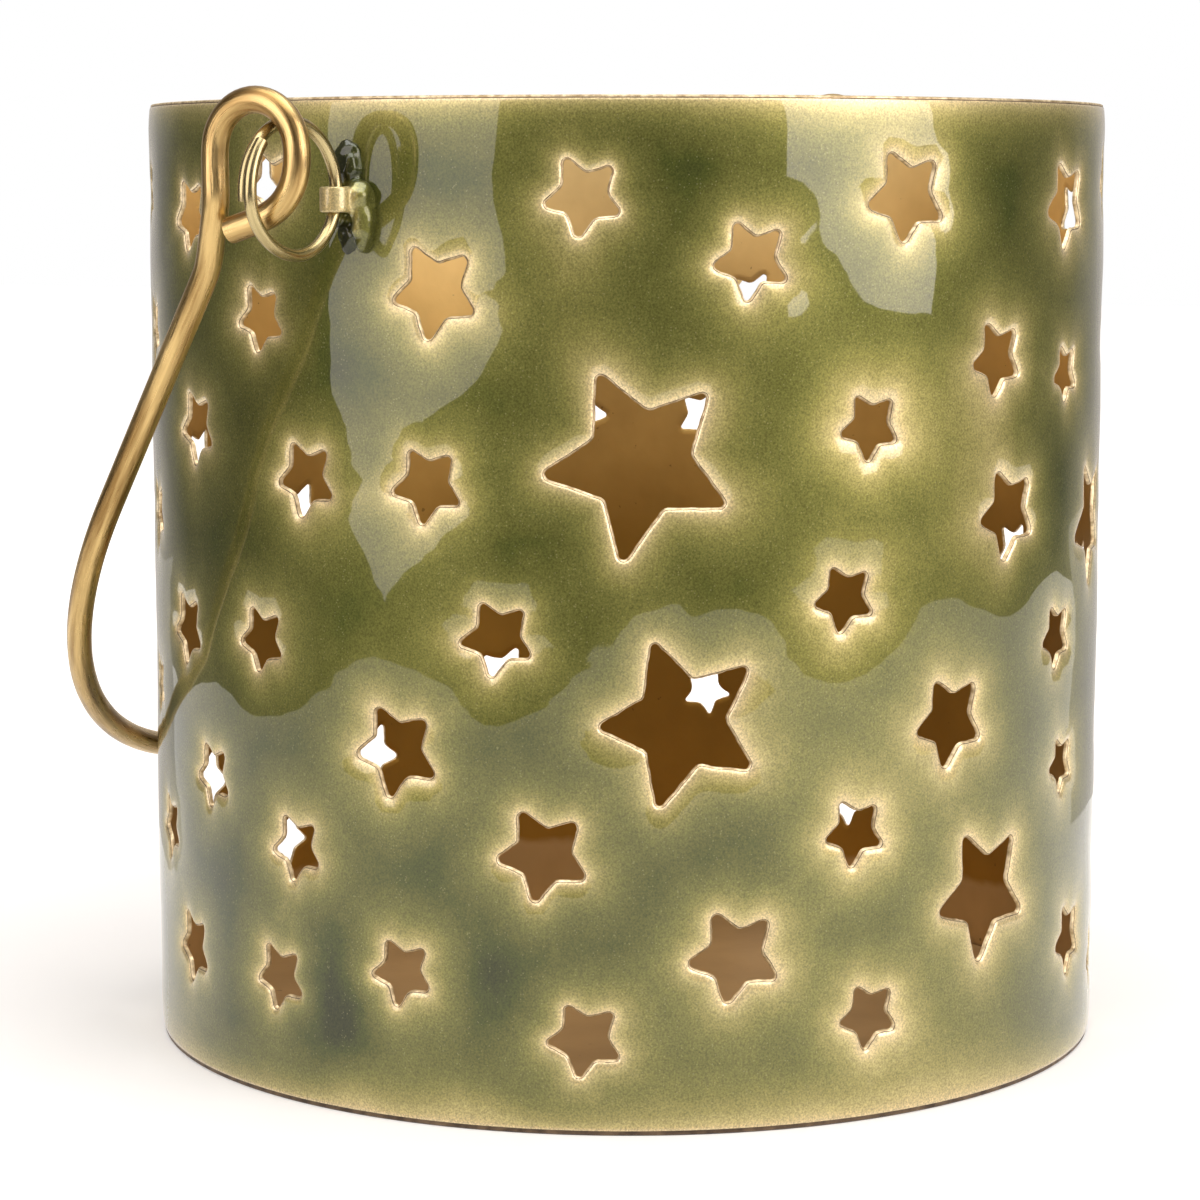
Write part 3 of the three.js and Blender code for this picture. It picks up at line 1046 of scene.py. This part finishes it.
def make_world():
    world = bpy.data.worlds.new("white_surround")
    bpy.context.scene.world = world
    world.use_nodes = True
    tree = world.node_tree
    background = tree.nodes["Background"]
    background.inputs["Color"].default_value = (1, 1, 1, 1)
    strength = math_of(tree, "MULTIPLY_ADD", seen_directly(tree), 1 - surround_light, surround_light)
    tree.links.new(strength, background.inputs["Strength"])


def around(bearing, distance, height):
    angle = math.radians(front_bearing + bearing)
    return Vector((distance * math.cos(angle), distance * math.sin(angle), height))


def only_reflected(card):
    card.visible_camera = False
    card.visible_diffuse = False
    card.visible_shadow = False


def make_room():
    """The dark room round the photographer, paler behind the lantern, seen only as a reflection."""
    bpy.ops.object.select_all(action="DESELECT")
    bpy.ops.mesh.primitive_cylinder_add(
        vertices=120, radius=room_radius, depth=room_height, end_fill_type="NOTHING",
        location=around(90, room_shift, room_height / 2))
    room = bpy.context.object
    room.name = "dark_room"
    settle()
    finish, tree, shader = new_finish("room_paper")
    set_sockets(shader, {
        "Base Color": (0.03, 0.03, 0.028, 1), "Roughness": 0.9,
        "Emission Color": (1.0, 0.93, 0.88, 1)})
    level = vector_of(tree, "MULTIPLY", object_place(tree), (1, 1, 0))["Vector"]
    outward = vector_of(tree, "NORMALIZE", level)["Vector"]
    backward = vector_of(tree, "DOT_PRODUCT", outward, -around(0, 1.0, 0))["Value"]
    dark, pale = (math.cos(math.radians(angle)) for angle in (room_dark_past, room_pale_within))
    glow = spread(tree, backward, dark, pale, 0.03, 0.54)
    tree.links.new(glow, shader.inputs["Emission Strength"])
    room.data.materials.append(finish)
    only_reflected(room)


def make_low_card():
    """A low card bent round behind the lantern, which keeps the floor out of its sides' reflections."""
    bearings = np.linspace(*card_bearings, card_points)
    distances = np.linspace(*card_distances, card_points)
    card = drawn_curve("low_card", [
        around(bearing, away, card_half_height) for bearing, away in zip(bearings, distances)])
    card.data.extrude = card_half_height
    bpy.ops.object.convert(target="MESH")
    card = bpy.context.object
    card.data.materials.append(glowing_finish("card_paper", (1.0, 0.94, 0.88), 0.72))
    only_reflected(card)


def softbox(name, bearing, distance, height, corners, size, radiance, lean):
    """A glowing sheet that faces the lantern, leaning to one side."""
    bpy.ops.object.select_all(action="DESELECT")
    bpy.ops.mesh.primitive_circle_add(vertices=corners, radius=0.5, fill_type="NGON")
    sheet = bpy.context.object
    sheet.name = name
    if corners == 4:
        sheet.rotation_euler = (0, 0, math.radians(45))
        settle()
        sheet.scale = (size[0] * math.sqrt(2), size[1] * math.sqrt(2), 1)
    else:
        sheet.scale = (size[0], size[1], 1)
    settle()
    facing = math.radians(front_bearing + bearing + 90)
    sheet.rotation_euler = (math.radians(90), math.radians(lean), facing)
    sheet.location = around(bearing, distance, height)
    settle()
    sheet.data.materials.append(glowing_finish(name + "_cloth", (1.0, 0.93, 0.95), radiance))
    only_reflected(sheet)


def lamp(name, place, target, size, radiance, reflected=False):
    light = bpy.data.lights.new(name, "AREA")
    light.size = size
    light.energy = radiance * math.pi * size * size
    made = bpy.data.objects.new(name, light)
    bpy.context.scene.collection.objects.link(made)
    made.location = place
    made.rotation_euler = (Vector(target) - Vector(place)).to_track_quat("-Z", "Y").to_euler()
    made.visible_camera = False
    made.visible_glossy = reflected


def make_lights():
    softbox("left_softbox", bearing=-53, distance=0.30, height=0.29, corners=8, size=(0.60, 0.54),
            radiance=2.8, lean=0)
    softbox("right_softbox", bearing=47, distance=0.385, height=0.26, corners=4, size=(0.39, 0.37),
            radiance=5.0, lean=4)
    lamp("left_lamp", around(-55, 0.5, 0.40), (0, 0, 0.05), size=0.4, radiance=0.8)
    lamp("right_lamp", around(45, 0.5, 0.42), (0, 0, 0.05), size=0.4, radiance=2.9)
    lamp("overhead_softbox", around(20, 0.14, 0.75), around(20, 0.1, 0), size=0.7, radiance=3.4,
         reflected=True)


def make_camera():
    data = bpy.data.cameras.new("camera")
    data.lens = camera_lens
    data.sensor_width = camera_sensor
    data.clip_start = 0.01
    camera = bpy.data.objects.new("camera", data)
    bpy.context.scene.collection.objects.link(camera)
    camera.location = camera_place
    camera.rotation_euler = (math.radians(90 - camera_pitch), 0, math.radians(camera_turn))
    bpy.context.scene.camera = camera


bpy.context.scene.view_settings.view_transform = "Standard"
make_camera()
make_world()
make_floor()
make_room()
make_low_card()
make_lights()

enamel = enamel_finish()
# Inside lacquer by height: paler towards the rim as painted light falling in from above, and paler
# again below about 9 mm
inside = inside_finish("inside_lacquer", [
    (8.8, (0.60, 0.44, 0.23)), (9.6, (0.42, 0.24, 0.042)), (45, (0.39, 0.222, 0.038)),
    (75, (0.70, 0.48, 0.17)), (97, (0.86, 0.66, 0.31))], metallic=0.8, roughness=0.42)
floor_lacquer = inside_finish("floor_lacquer", [
    (0, (0.34, 0.215, 0.09)), (5, (0.36, 0.23, 0.10))], metallic=0.3, roughness=0.5)
cut_gold = gold_finish("cut_gold", [
    (0.35, (0.42, 0.30, 0.15)), (0.65, (0.88, 0.72, 0.45))],
    roughness=0.42, metallic=0.6, grain_scale=1500.0, bump_depth=0.00006)
# Dark seam lines at every cut edge: painted shade and dark reflection, round the foot on the bare edge
# as well
shaded_seam_line = gold_finish("shaded_seam_line", [
    (0.35, (0.07, 0.042, 0.022)), (0.65, (0.20, 0.13, 0.07))],
    roughness=0.5, metallic=0.3, grain_scale=700.0, bump_depth=0.00004)
handle_gold = gold_finish("handle_gold", [
    (0.34, (0.27, 0.16, 0.052)), (0.60, (0.68, 0.48, 0.20))],
    roughness=0.30, metallic=0.95, grain_scale=1000.0, bump_depth=0.00009, along_wire=True)
ring_brass = gold_finish("ring_brass", [
    (0.30, (0.22, 0.17, 0.072)), (0.65, (0.52, 0.42, 0.21))],
    roughness=0.24, metallic=0.95, grain_scale=1200.0, bump_depth=0.00003, along_wire=True)

make_wall({"enamel": enamel, "cut": cut_gold, "inside": inside, "burnt": shaded_seam_line})
make_base(floor_lacquer)
for side in ("left", "right"):
    make_lug(side, enamel)
    make_ring(side, ring_brass)
make_handle(handle_gold)
